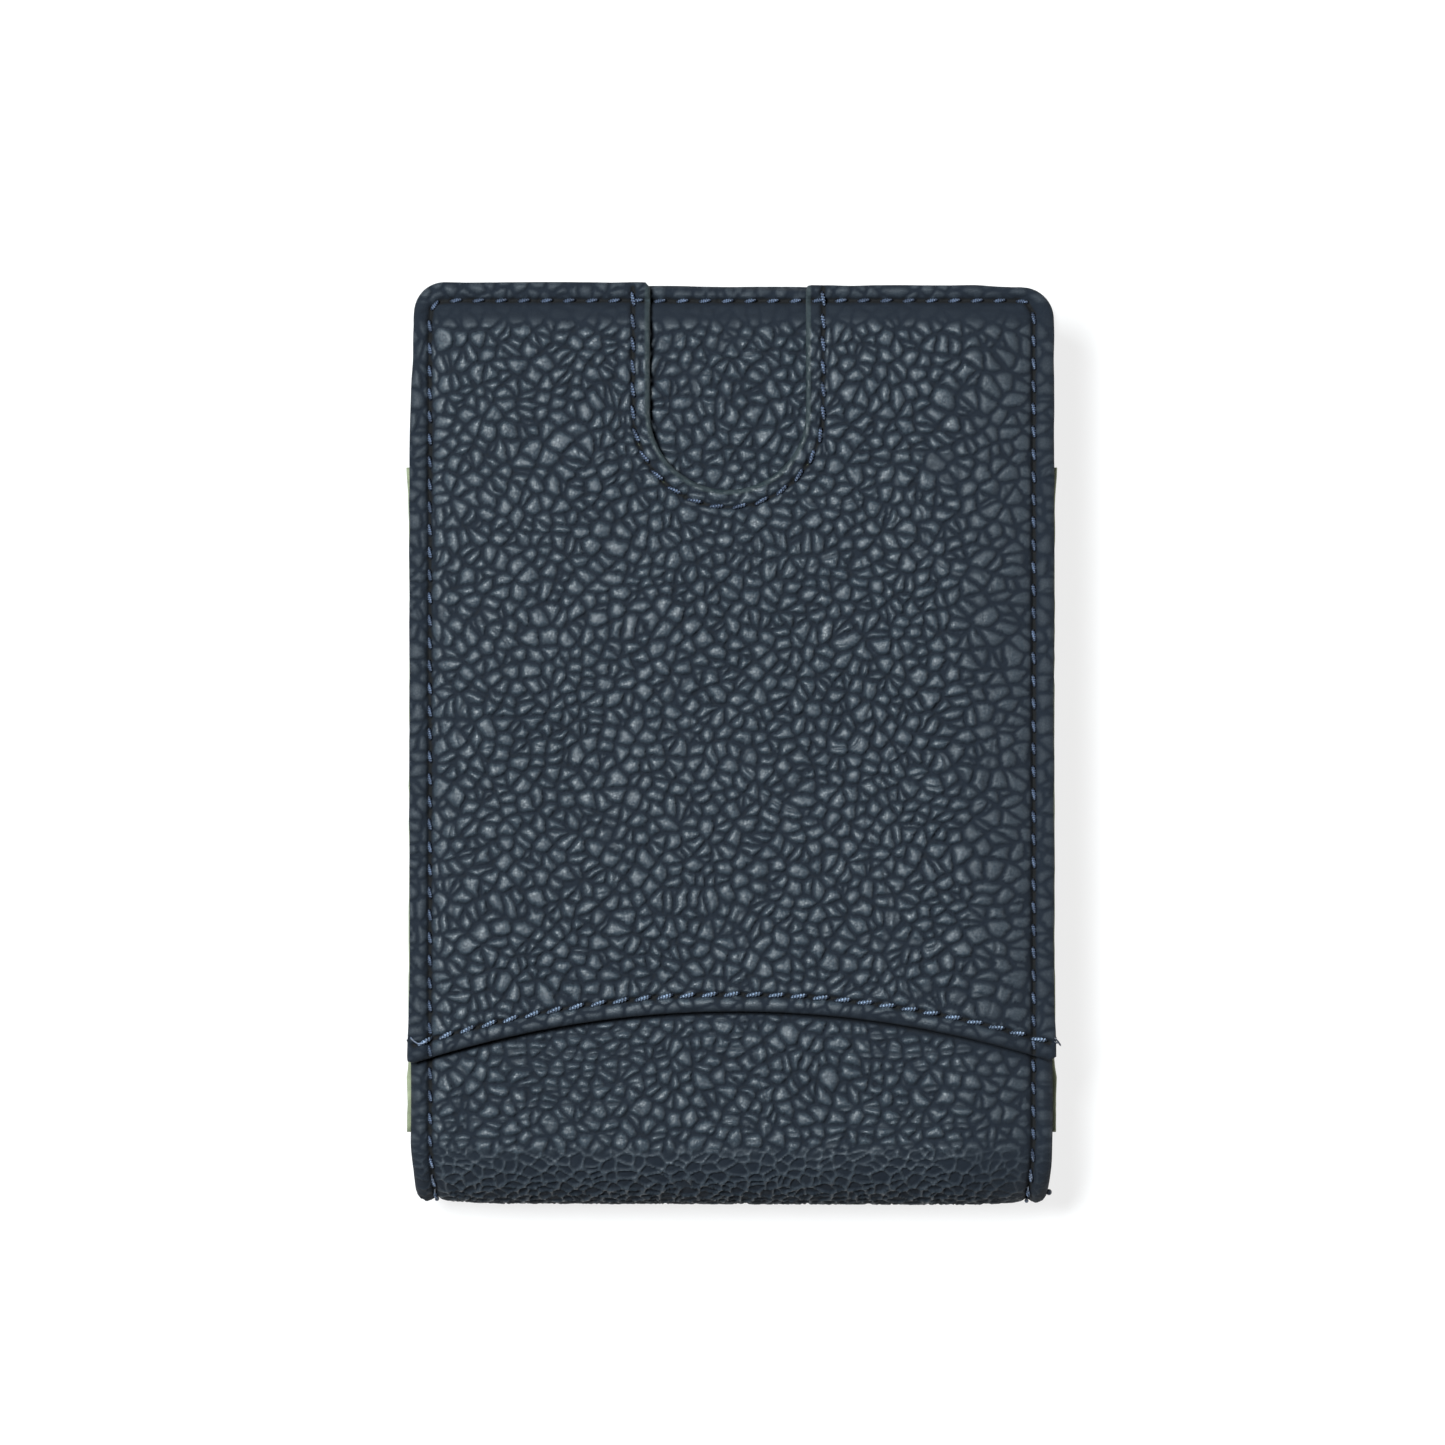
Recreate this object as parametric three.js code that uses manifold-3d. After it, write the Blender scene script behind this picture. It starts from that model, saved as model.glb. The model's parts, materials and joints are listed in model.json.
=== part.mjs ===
// Accordion card case, lying on its back: X across, Y from the folded bottom to the open top,
// Z up through the thickness, front cover on top. Millimetres; origin at the middle of the back face.
// A leather skin wraps round the bottom. Between the padded covers, five divider walls hang in two
// fan-folded side gussets. Everything opens like a fan about one line inside the bottom bend.
import * as THREE from 'three';
import { mergeVertices } from 'three/addons/utils/BufferGeometryUtils.js';
import Module from 'manifold-3d';

const wasm = await Module();
wasm.setup();

// Driving dimensions
const WIDTH = 70;
const HEIGHT = 100;
const CORNER_RADIUS = 3;
const GAP = 0.3;            // running gap where pieces meet or turn
const GLUE_LINE = 0.05;     // gap between layers that are glued face to face

// Layers of a padded cover, from the outside in
const SKIN = 0.9;
const PADDING = 1.0;
const BOARD = 0.65;
const LINING = 0.35;
const COVER = SKIN + PADDING + BOARD + LINING + 2 * GLUE_LINE;
const HEM = 1.6;            // width of the skin's edge that is turned in
const FLANGE = 3;           // flat stitched border round the padding

// The pass pocket on the front
const POCKET_LINING = 0.3;
const POCKET_SKIN = 1.1;
const POCKET_SLIT = 0.1;
const MOUTH_SIDE_Y = -34.7;
const MOUTH_RISE = 5.7;
const MOUTH_MIDDLE_X = 0.4;
const NOTCH_MIDDLE_X = -0.4;
const NOTCH_WIDTH = 16.8;
const NOTCH_BOTTOM_Y = 27.5;

// Accordion
const COMPARTMENTS = 6;
const GUSSET_TOP_Y = 30;
const GUSSET_SKIN = 0.3;
const GUSSET_OUTER_X = 33.8;
const GUSSET_INNER_X = 29.8;
const WALL = 0.5;
const WALL_HALF_WIDTH = 28.4;
const BINDING_HEIGHT = 3;
const BINDING_SKIN = 0.15;
const BINDING_AIR = 0.03;

// Magnets
const MAGNET_RADIUS = 4.5;
const MAGNET_THICKNESS = 0.9;
const MAGNET_X = 22;
const MAGNET_Y = 42;

// Levels worked out from the above
const THICKNESS = 16;
const FRONT_SKIN_TOP = THICKNESS - POCKET_SKIN - GLUE_LINE - POCKET_LINING - POCKET_SLIT;
const INSIDE_LOW = COVER;
const INSIDE_HIGH = FRONT_SKIN_TOP - COVER;
const BEND_RADIUS = FRONT_SKIN_TOP / 2;
const AXIS_Y = -HEIGHT / 2 + BEND_RADIUS;
const AXIS_Z = BEND_RADIUS;
const COVER_FOOT_Y = AXIS_Y + GAP;
const FAN_FOOT_Y = COVER_FOOT_Y + GAP;
const TOP_Y = HEIGHT / 2;

const NAVY = { color: 0x333f4c, roughness: 0.55, metalness: 0 };
const OLIVE = { color: 0x5d6645, roughness: 0.8, metalness: 0 };
const FOAM = { color: 0x9a9a92, roughness: 0.95, metalness: 0 };
const GREYBOARD = { color: 0x8f897d, roughness: 0.9, metalness: 0 };
const NICKEL = { color: 0xb8b8b4, roughness: 0.35, metalness: 1 };

// Extrusions along X take an outline in (Y, Z); extrusions along Y take one in (X, Z), from the top down.
const ALONG_X = new THREE.Matrix4().makeBasis(
  new THREE.Vector3(0, 1, 0), new THREE.Vector3(0, 0, 1), new THREE.Vector3(1, 0, 0));
const DOWN_Y = new THREE.Matrix4().makeBasis(
  new THREE.Vector3(1, 0, 0), new THREE.Vector3(0, 0, 1), new THREE.Vector3(0, -1, 0));

const holder = new THREE.Group();

function addPiece(name, geometry, look, place = [0, 0, 0], turn = null) {
  const piece = new THREE.Mesh(geometry, new THREE.MeshStandardMaterial(look));
  piece.name = name;
  if (turn) piece.setRotationFromMatrix(turn);
  piece.position.set(...place);
  holder.add(piece);
}

function toSolid(geometry) {
  const bare = geometry.clone();
  bare.deleteAttribute('normal');
  bare.deleteAttribute('uv');
  const merged = mergeVertices(bare, 1e-5);
  return new wasm.Manifold(new wasm.Mesh({
    numProp: 3,
    vertProperties: merged.attributes.position.array,
    triVerts: new Uint32Array(merged.index.array),
  }));
}

function toGeometry(solid) {
  const mesh = solid.getMesh();
  const geometry = new THREE.BufferGeometry();
  geometry.setAttribute('position', new THREE.BufferAttribute(mesh.vertProperties, 3));
  geometry.setIndex(new THREE.BufferAttribute(mesh.triVerts, 1));
  geometry.computeVertexNormals();
  return geometry;
}

// A cover's outline: round corners at the top, straight across at the foot. inset draws it smaller.
function coverOutline(inset, footY = COVER_FOOT_Y) {
  const side = WIDTH / 2 - inset;
  const top = TOP_Y - inset;
  const radius = Math.max(CORNER_RADIUS - inset, 0.5);
  const outline = new THREE.Shape();
  outline.moveTo(-side, footY);
  outline.lineTo(side, footY);
  outline.absarc(side - radius, top - radius, radius, 0, Math.PI / 2);
  outline.absarc(-side + radius, top - radius, radius, Math.PI / 2, Math.PI);
  outline.closePath();
  return outline;
}

function slab(outline, thickness) {
  return new THREE.ExtrudeGeometry(outline, { depth: thickness, bevelEnabled: false, curveSegments: 8 });
}

// The skin of a cover: a plate with its edge turned in along both sides and the top.
function coverSkin() {
  const block = slab(coverOutline(0), COVER);
  const tray = slab(coverOutline(HEM, COVER_FOOT_Y - 1), COVER);
  tray.translate(0, 0, SKIN);
  return toGeometry(toSolid(block).subtract(toSolid(tray)));
}

function paddingWithMagnetHoles() {
  const outline = coverOutline(FLANGE);
  for (const side of [-1, 1]) {
    const hole = new THREE.Path();
    hole.absarc(side * MAGNET_X, MAGNET_Y, MAGNET_RADIUS + GAP, 0, 2 * Math.PI);
    outline.holes.push(hole);
  }
  return slab(outline, PADDING);
}

// One padded cover. outward is -1 for the back (skin facing down) and 1 for the front (skin facing up).
function addCover(side, skinFaceZ, outward) {
  const place = (depth, thickness) => skinFaceZ - outward * depth - (outward > 0 ? thickness : 0);
  const skin = coverSkin();
  if (outward > 0) {
    skin.rotateY(Math.PI);
    addPiece(`${side}_leather`, skin, NAVY, [0, 0, skinFaceZ]);
  } else {
    addPiece(`${side}_leather`, skin, NAVY);
  }
  const layerInset = HEM + GAP;
  const layers = [
    ['padding', paddingWithMagnetHoles(), PADDING, FOAM],
    ['board', slab(coverOutline(layerInset), BOARD), BOARD, GREYBOARD],
    ['lining', slab(coverOutline(layerInset), LINING), LINING, OLIVE],
  ];
  let depth = SKIN;
  for (const [layer, geometry, thickness, look] of layers) {
    addPiece(`${side}_${layer}`, geometry, look, [0, 0, place(depth, thickness)]);
    depth += thickness + GLUE_LINE;
  }
  const upright = new THREE.Matrix4().makeRotationX(Math.PI / 2);
  for (const [hand, sign] of [['left', -1], ['right', 1]]) {
    const disc = new THREE.CylinderGeometry(MAGNET_RADIUS, MAGNET_RADIUS, MAGNET_THICKNESS, 24);
    const middle = place(SKIN, PADDING) + PADDING / 2;
    addPiece(`${side}_magnet_${hand}`, disc, NICKEL, [sign * MAGNET_X, MAGNET_Y, middle], upright);
  }
}

// Part of a ring about the fan's axis, as an outline in (Y, Z) measured from that axis.
function ringOutline(outerRadius, thickness, fromDegrees, toDegrees) {
  const from = THREE.MathUtils.degToRad(fromDegrees);
  const to = THREE.MathUtils.degToRad(toDegrees);
  const ring = new THREE.Shape();
  ring.absarc(0, 0, outerRadius, from, to, false);
  ring.absarc(0, 0, outerRadius - thickness, to, from, true);
  ring.closePath();
  return ring;
}

function addSpine() {
  const steps = { bevelEnabled: false, curveSegments: 20 };
  const bend = new THREE.ExtrudeGeometry(
    ringOutline(BEND_RADIUS, SKIN, 90, 270), { depth: WIDTH, ...steps });
  addPiece('spine_leather', bend, NAVY, [-WIDTH / 2, AXIS_Y, AXIS_Z], ALONG_X);
  // The lining stops short of the front cover's sweep.
  const liningWidth = WIDTH - 2 * (HEM + GAP);
  const liningRadius = BEND_RADIUS - SKIN - GLUE_LINE;
  const lining = new THREE.ExtrudeGeometry(
    ringOutline(liningRadius, LINING, 130, 268), { depth: liningWidth, ...steps });
  addPiece('spine_lining', lining, OLIVE, [-liningWidth / 2, AXIS_Y, AXIS_Z], ALONG_X);
}

// The front panel of the pass pocket: thumb notch at the top, arched mouth at the foot.
function pocketOutline(inset) {
  const side = WIDTH / 2 - inset;
  const top = TOP_Y - inset;
  const radius = Math.max(CORNER_RADIUS - inset, 0.5);
  const halfMouth = WIDTH / 2;
  const mouthRadius = (halfMouth ** 2 + MOUTH_RISE ** 2) / (2 * MOUTH_RISE);
  const mouthCentreY = MOUTH_SIDE_Y + MOUTH_RISE - mouthRadius;
  const leftAngle = Math.PI - Math.acos((side + MOUTH_MIDDLE_X) / mouthRadius);
  const rightAngle = Math.acos((side - MOUTH_MIDDLE_X) / mouthRadius);
  const notchSide = NOTCH_WIDTH / 2 + inset;
  const notchCentreY = NOTCH_BOTTOM_Y + NOTCH_WIDTH / 2;
  const outline = new THREE.Shape();
  outline.absarc(MOUTH_MIDDLE_X, mouthCentreY, mouthRadius + inset, leftAngle, rightAngle, true);
  outline.absarc(side - radius, top - radius, radius, 0, Math.PI / 2, false);
  outline.lineTo(NOTCH_MIDDLE_X + notchSide, top);
  outline.absarc(NOTCH_MIDDLE_X, notchCentreY, notchSide, 0, -Math.PI, true);
  outline.lineTo(NOTCH_MIDDLE_X - notchSide, top);
  outline.absarc(-side + radius, top - radius, radius, Math.PI / 2, Math.PI, false);
  outline.closePath();
  return outline;
}

function addPassPocket() {
  const panel = new THREE.ExtrudeGeometry(
    pocketOutline(0), { depth: POCKET_SKIN, bevelEnabled: false, curveSegments: 16 });
  addPiece('pass_pocket_leather', panel, NAVY, [0, 0, THICKNESS - POCKET_SKIN]);
  const lining = new THREE.ExtrudeGeometry(
    pocketOutline(GAP), { depth: POCKET_LINING, bevelEnabled: false, curveSegments: 16 });
  addPiece('pass_pocket_lining', lining, OLIVE, [0, 0, FRONT_SKIN_TOP + POCKET_SLIT]);
}

// A side gusset: one outward fold for each compartment, its inner folds at the divider walls' edges.
function addGusset(name, sign) {
  const low = INSIDE_LOW + GLUE_LINE;
  const high = INSIDE_HIGH - GLUE_LINE;
  const halfFold = (high - low) / (2 * COMPARTMENTS);
  const slope = Math.atan2(halfFold, GUSSET_OUTER_X - GUSSET_INNER_X);
  const halfSkin = GUSSET_SKIN / 2 / Math.sin(slope);
  const folds = [];
  for (let i = 0; i <= 2 * COMPARTMENTS; i += 1) {
    const x = i % 2 === 0 ? GUSSET_INNER_X : GUSSET_OUTER_X;
    folds.push(new THREE.Vector2(sign * x, low + i * halfFold));
  }
  const outer = folds.map((fold) => new THREE.Vector2(fold.x + halfSkin, fold.y));
  const inner = folds.map((fold) => new THREE.Vector2(fold.x - halfSkin, fold.y)).reverse();
  const fan = new THREE.ExtrudeGeometry(
    new THREE.Shape([...outer, ...inner]), { depth: GUSSET_TOP_Y - FAN_FOOT_Y, bevelEnabled: false });
  addPiece(name, fan, OLIVE, [0, GUSSET_TOP_Y, 0], DOWN_Y);
}

// A strip folded over a wall's top edge, as an outline in (Y, Z) measured from the wall's middle.
function bindingOutline() {
  const slotHalf = WALL / 2 + BINDING_AIR;
  const half = slotHalf + BINDING_SKIN;
  const foot = GUSSET_TOP_Y - BINDING_HEIGHT;
  const slotEnd = GUSSET_TOP_Y - BINDING_SKIN;
  return new THREE.Shape([
    new THREE.Vector2(foot, -half),
    new THREE.Vector2(GUSSET_TOP_Y - BINDING_SKIN, -half),
    new THREE.Vector2(GUSSET_TOP_Y, -slotHalf),
    new THREE.Vector2(GUSSET_TOP_Y, slotHalf),
    new THREE.Vector2(GUSSET_TOP_Y - BINDING_SKIN, half),
    new THREE.Vector2(foot, half),
    new THREE.Vector2(foot, slotHalf),
    new THREE.Vector2(slotEnd, slotHalf),
    new THREE.Vector2(slotEnd, -slotHalf),
    new THREE.Vector2(foot, -slotHalf),
  ]);
}

function addDividers() {
  const wallTop = GUSSET_TOP_Y - BINDING_SKIN - BINDING_AIR;
  const wallLength = wallTop - FAN_FOOT_Y;
  const pitch = (INSIDE_HIGH - INSIDE_LOW) / COMPARTMENTS;
  for (let i = 1; i < COMPARTMENTS; i += 1) {
    const middleZ = INSIDE_LOW + i * pitch;
    const wall = new THREE.BoxGeometry(2 * WALL_HALF_WIDTH, wallLength, WALL);
    addPiece(`divider_${i}`, wall, OLIVE, [0, FAN_FOOT_Y + wallLength / 2, middleZ]);
    const binding = new THREE.ExtrudeGeometry(
      bindingOutline(), { depth: 2 * WALL_HALF_WIDTH, bevelEnabled: false });
    addPiece(`divider_${i}_binding`, binding, NAVY, [-WALL_HALF_WIDTH, 0, middleZ], ALONG_X);
  }
}

addCover('back', 0, -1);
addCover('front', FRONT_SKIN_TOP, 1);
addSpine();
addPassPocket();
addGusset('gusset_left', -1);
addGusset('gusset_right', 1);
addDividers();

export default holder;
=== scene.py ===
import json
import math

import bpy
import numpy as np
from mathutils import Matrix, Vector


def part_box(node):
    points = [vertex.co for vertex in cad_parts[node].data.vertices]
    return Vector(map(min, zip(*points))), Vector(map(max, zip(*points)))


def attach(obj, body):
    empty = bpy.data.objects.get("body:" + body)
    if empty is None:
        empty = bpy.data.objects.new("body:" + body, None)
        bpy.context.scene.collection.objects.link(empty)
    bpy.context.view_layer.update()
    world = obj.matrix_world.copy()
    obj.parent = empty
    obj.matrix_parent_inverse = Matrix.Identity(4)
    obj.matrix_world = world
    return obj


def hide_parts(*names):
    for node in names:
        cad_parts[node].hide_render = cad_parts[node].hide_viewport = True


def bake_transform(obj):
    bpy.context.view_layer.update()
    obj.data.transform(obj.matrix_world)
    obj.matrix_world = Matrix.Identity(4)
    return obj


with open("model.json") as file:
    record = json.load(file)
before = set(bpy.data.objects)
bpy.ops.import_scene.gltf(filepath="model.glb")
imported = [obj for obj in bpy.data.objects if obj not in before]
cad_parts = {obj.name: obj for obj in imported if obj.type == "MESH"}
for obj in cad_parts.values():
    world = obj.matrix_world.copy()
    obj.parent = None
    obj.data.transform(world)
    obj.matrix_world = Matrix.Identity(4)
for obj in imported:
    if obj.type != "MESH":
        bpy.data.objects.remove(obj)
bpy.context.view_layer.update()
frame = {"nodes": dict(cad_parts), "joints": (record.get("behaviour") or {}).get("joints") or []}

# Lengths are in millimetres until a mesh or a call of the frame needs metres.
MM = 0.001


# ---------------------------------------------------------------- sizes from the frame
def box_mm(node):
    low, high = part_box(node)
    return np.array(low) / MM, np.array(high) / MM


def hinge_line():
    for joint in frame["joints"]:
        if joint["name"] == "front_open":
            return np.array(joint["pos_m"]) / MM


FRONT_LOW, FRONT_HIGH = box_mm("front_leather")
GUSSET_LOW, GUSSET_HIGH = box_mm("gusset_right")
HINGE = hinge_line()
COMPARTMENTS = 6
TOP_Y = FRONT_HIGH[1]
HALF_WIDTH = FRONT_HIGH[0]
INSIDE_LOW = box_mm("back_leather")[1][2]
INSIDE_HIGH = FRONT_LOW[2]

# Outer shell: the skin of both covers and the bend between them
FLANGE_RADIUS = 6.2                      # of the bend at its stitched side flanges
FLANGE_BACK_Z = HINGE[2] - FLANGE_RADIUS
FLANGE_FRONT_Z = HINGE[2] + FLANGE_RADIUS
SHELL_HALF_WIDTH = HALF_WIDTH - 0.15
PUFF_BACK = FLANGE_BACK_Z                # so the back's flat middle rests at z = 0
PUFF_FRONT = 1.5
PUFF_REACH = 8.0                         # from the side seams in to the flat middle
PUFF_TOP_REACH = 4.5
SEAM_X = 32.7
SEAM_TOP_Y = TOP_Y - 2.0
SEAM_INSET = TOP_Y - SEAM_TOP_Y
SEAM_CORNER = 1.6                        # radius of the outer seam's corners
GROOVE = 0.26                            # how deep a seam's thread pulls the skin down
GROOVE_WIDTH = 0.42
CORNER_RADIUS = 3.4
SHELL_ROLL = 0.95                        # radius of the turned edge, half the thickness there
SHELL_HEM = 4.0                          # how far the skin runs back under its turned edge
UNDERSIDE = 2.2                          # radians of roll past which an edge has no grain
TAUT_FROM_Y = -43.2                      # where the front's skin starts to be drawn round the bend
BEND_LIFT = 0.9                          # how much fuller the flange is at the bottom of the bend

# Pass pocket
PANEL = 1.05                             # thickness of the pocket's panel
PANEL_ROLL = 0.5
PANEL_HEM = 2.2
MOUTH_X = 0.4                            # the arch's middle is a little to the right
MOUTH_TOP_Y = -29.0
MOUTH_RISE = 5.7
MOUTH_END_Y = MOUTH_TOP_Y - MOUTH_RISE
MOUTH_RADIUS = (HALF_WIDTH**2 + MOUTH_RISE**2) / (2 * MOUTH_RISE)
MOUTH_CENTRE_Y = MOUTH_TOP_Y - MOUTH_RADIUS
PANEL_FOOT_Y = MOUTH_END_Y - 1           # just below the panel's lowest points
NOTCH_X = -0.4
NOTCH_RADIUS = 8.4
NOTCH_FOOT_Y = 27.5
NOTCH_CENTRE_Y = NOTCH_FOOT_Y + NOTCH_RADIUS
HEM_SEAM = 1.9                           # from the pocket's edges in to their stitches
LINING_MARGIN = 0.7                      # from the outer seam in to the pocket's lining

# Stitches: pitch along the seam and the length of thread that shows
SIDE_STITCH = (2.45, 0.95)
MOUTH_STITCH = (2.45, 1.55)
NOTCH_STITCH = (2.5, 1.4)
HOLE_RADIUS = 0.25
HOLE_DEPTH = 0.30

# Grain
PEBBLE_HEIGHT = 0.50
PEBBLE_LEVEL = 0.75                      # the grain's height that lies level with the plain skin
WRINKLE_HEIGHT = 0.10
FLANK = 0.27                             # from a crease to where a pebble's steep side ends
DOME = 0.80                              # from a crease to where its top stops rising
NICK = 0.17                              # how deep the small cuts in a pebble's side reach in
CREASE = 0.07                            # half the width of the bare floor of a crease
CREASE_PITCH = 1.9                       # of the long level creases below the mouth
CREASES_FROM_Y, CREASES_TO_Y = -47.0, -27.5


# ---------------------------------------------------------------- numbers
def smooth(t):
    t = np.clip(t, 0, 1)
    return t * t * (3 - 2 * t)


def pillow(t):
    """Rises steeply from 0 at t = 0 and rounds off to 1 at t = 1."""
    return 1 - (1 - np.clip(t, 0, 1)) ** 2


def bell(t):
    """1 at t = 0, falling off to nothing past about 2 on either side."""
    return np.exp(-(t**2))


def xyz(x, y, z):
    return np.stack(np.broadcast_arrays(x, y, z), axis=-1)


def unit(vectors):
    return vectors / np.linalg.norm(vectors, axis=-1, keepdims=True)


def rounded(past_u, past_v, radius):
    """Distance outside a corner rounded to radius, from the distances past its two straight sides."""
    cu, cv = past_u + radius, past_v + radius
    return np.hypot(np.maximum(cu, 0), np.maximum(cv, 0)) + np.minimum(np.maximum(cu, cv), 0) - radius


def lattice(i, j, seed):
    """A repeatable random number from 0 to 1 for each pair of whole numbers."""
    n = (i.astype(np.int64) * 374761393 + j.astype(np.int64) * 668265263 + seed * 362437) & 0xFFFFFFFF
    n = ((n ^ (n >> 13)) * 1274126177) & 0xFFFFFFFF
    n = ((n ^ (n >> 16)) * 2246822519) & 0xFFFFFFFF
    return ((n ^ (n >> 13)) & 0xFFFFFF) / 0xFFFFFF


def noise(x, y, size, seed):
    """Smooth value noise from -1 to 1, with features about size across."""
    u, v = x / size, y / size
    i, j = np.floor(u), np.floor(v)
    s, t = smooth(u - i), smooth(v - j)
    low = lattice(i, j, seed) * (1 - s) + lattice(i + 1, j, seed) * s
    high = lattice(i, j + 1, seed) * (1 - s) + lattice(i + 1, j + 1, seed) * s
    return (low * (1 - t) + high * t) * 2 - 1


# ---------------------------------------------------------------- the pebbled grain
# Each layer of pebbles: spacing, least and greatest reach, seed. Small ones fill the gaps between large.
PEBBLE_LAYERS = ((1.72, 0.30, 0.80, 11), (3.60, 0.00, 0.40, 23))
ROUNDING = 8.5                          # how much a pebble's corners are rounded, per mm
SCATTER = 0.84                          # how far pebbles stray from an even grid, of its spacing
GRAIN_TURN = 0.6                        # radians by which that grid is turned


def seeds_near(x, y):
    """For each layer and each nearby square of its grid: a pebble's middle, reach squared and number."""
    for pitch, least, most, seed in PEBBLE_LAYERS:
        i0, j0 = np.floor(x / pitch), np.floor(y / pitch)
        for di in range(-2, 3):
            for dj in range(-2, 3):
                i, j = i0 + di, j0 + dj
                px = (i + 0.5 + SCATTER * (lattice(i, j, seed) - 0.5)) * pitch
                py = (j + 0.5 + SCATTER * (lattice(i, j, seed + 1) - 0.5)) * pitch
                own = lattice(i, j, seed + 2)
                reach = least + (most - least) * own**1.5
                yield px, py, reach**2, lattice(i, j, seed + 3)


def pebble_cells(x, y):
    """For points of the flat skin: the distance in from the nearest crease, the offset from the pebble's
    middle, the pebble's own number and the place in the grain's own turned and wandering axes."""
    moved_x = x + 0.15 * noise(x, y, 0.9, 1) + 0.6 * noise(x, y, 5.0, 2)
    moved_y = y + 0.15 * noise(x, y, 0.9, 3) + 0.6 * noise(x, y, 5.0, 4)
    wx = math.cos(GRAIN_TURN) * moved_x - math.sin(GRAIN_TURN) * moved_y
    wy = math.sin(GRAIN_TURN) * moved_x + math.cos(GRAIN_TURN) * moved_y
    best = np.full(x.shape, np.inf)
    bx, by, number = np.zeros(x.shape), np.zeros(x.shape), np.zeros(x.shape)
    for px, py, reach2, own in seeds_near(wx, wy):
        power = (wx - px) ** 2 + (wy - py) ** 2 - reach2
        nearer = power < best
        best = np.where(nearer, power, best)
        bx, by = np.where(nearer, px, bx), np.where(nearer, py, by)
        number = np.where(nearer, own, number)
    total = np.zeros(x.shape)
    for px, py, reach2, _ in seeds_near(wx, wy):
        apart = np.hypot(px - bx, py - by)
        power = (wx - px) ** 2 + (wy - py) ** 2 - reach2
        gap = (power - best) / np.maximum(2 * apart, 1e-6)
        total += np.where(apart > 1e-3, np.exp(-ROUNDING * np.minimum(gap, 5)), 0)
    edge = -np.log(np.maximum(total, 1e-9)) / ROUNDING
    return edge, wx - bx, wy - by, number, wx, wy


def pebbles(x, y):
    """Height of the grain at points of the flat skin: 0 in a crease, about 1 on a pebble's top."""
    edge, off_x, off_y, number, wx, wy = pebble_cells(x, y)
    around = np.arctan2(off_y, off_x)
    turned_x, turned_y = 1.25 * np.cos(around) + 50 * number, 1.25 * np.sin(around) + 31 * number
    ray = noise(turned_x, turned_y, 1.0, 41) + 0.15 * noise(wx, wy, 0.5, 42)
    nick = bell(ray / 0.09) * (1 - smooth(edge / 0.57))
    edge = edge - CREASE - NICK * nick
    side = pillow(edge / FLANK)
    dome = pillow(edge / DOME)
    pit = np.minimum(edge, 0) * 1.6
    turn = number * 97.0
    tilt = 0.16 * (off_x * np.cos(turn) + off_y * np.sin(turn))
    cracks = 0.11 * (np.abs(noise(wx, wy, 0.40, 37)) ** 0.6 - 0.6)
    top = 0.48 + 0.50 * dome + 0.20 * (number - 0.5) + tilt + cracks
    top = pit + side * top
    fold = np.abs(noise(x, y, 6.5, 31) + 0.35 * noise(x, y, 2.2, 32))
    crease = bell(fold / 0.05) * smooth(noise(x, y, 9.0, 33) * 2 + 0.4)
    return np.clip(top - 0.6 * crease * top, -0.3, 1.3)


def taut_grain(x, y):
    """Stretched skin: its pebbles are smaller, and shallow hollows in a thin raised net."""
    edge, _, off_y, number, _, _ = pebble_cells(1.08 * x + 17, 1.60 * y)
    net = 1 - smooth(edge / 0.20)
    # Low values also give the hollows and the bend a darker colour: painted shade where the skin turns down
    # away from the light.
    return -0.02 + 0.62 * net + 0.06 * number - 0.06 * off_y


def long_creases(x, y):
    """1 in the long creases that run roughly level across the strip below the mouth."""
    line = (y + 0.6 * noise(x, y, 8.0, 34) + 0.25 * noise(x, y, 2.3, 35)) / CREASE_PITCH
    away = np.abs(line - np.round(line)) * CREASE_PITCH
    broken = smooth(noise(x, y, 7.0, 36) * 1.6 + 1.1)
    return bell(away / 0.20) * broken


# ---------------------------------------------------------------- meshes
def new_piece(name, points_mm, faces, material, attributes=None, smooth_shading=True):
    """A mesh object from arrays: points in millimetres, faces all with three or all with four corners."""
    faces = np.asarray(faces, np.int32)
    mesh = bpy.data.meshes.new(name)
    mesh.vertices.add(len(points_mm))
    mesh.vertices.foreach_set("co", (np.asarray(points_mm, float) * MM).astype(np.float32).ravel())
    corners = faces.shape[1]
    mesh.loops.add(faces.size)
    mesh.loops.foreach_set("vertex_index", faces.ravel())
    mesh.polygons.add(len(faces))
    mesh.polygons.foreach_set("loop_start", np.arange(0, faces.size, corners, dtype=np.int32))
    mesh.update(calc_edges=True)
    mesh.validate()
    for key, values in (attributes or {}).items():
        layer = mesh.attributes.new(key, "FLOAT", "POINT")
        layer.data.foreach_set("value", np.asarray(values, np.float32))
    if smooth_shading:
        mesh.polygons.foreach_set("use_smooth", np.ones(len(mesh.polygons), bool))
    mesh.materials.append(material)
    piece = bpy.data.objects.new(name, mesh)
    bpy.context.scene.collection.objects.link(piece)
    return piece


def gradient(distance, u, v):
    """Which way distance grows, as a unit vector."""
    step = 0.01
    gu = distance(u + step, v) - distance(u - step, v)
    gv = distance(u, v + step) - distance(u, v - step)
    size = np.maximum(np.hypot(gu, gv), 1e-9)
    return gu / size, gv / size


def grid_faces(index):
    """The squares of a grid, from the number of each of its points."""
    return np.stack([index[:-1, :-1], index[1:, :-1], index[1:, 1:], index[:-1, 1:]], axis=-1)


def ring_faces(rings, sides):
    """The wall of a tube whose points are so many rings of so many points."""
    index = np.arange(rings * sides).reshape(rings, sides)
    return grid_faces(np.hstack([index, index[:, :1]]).T).reshape(-1, 4)


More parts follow.
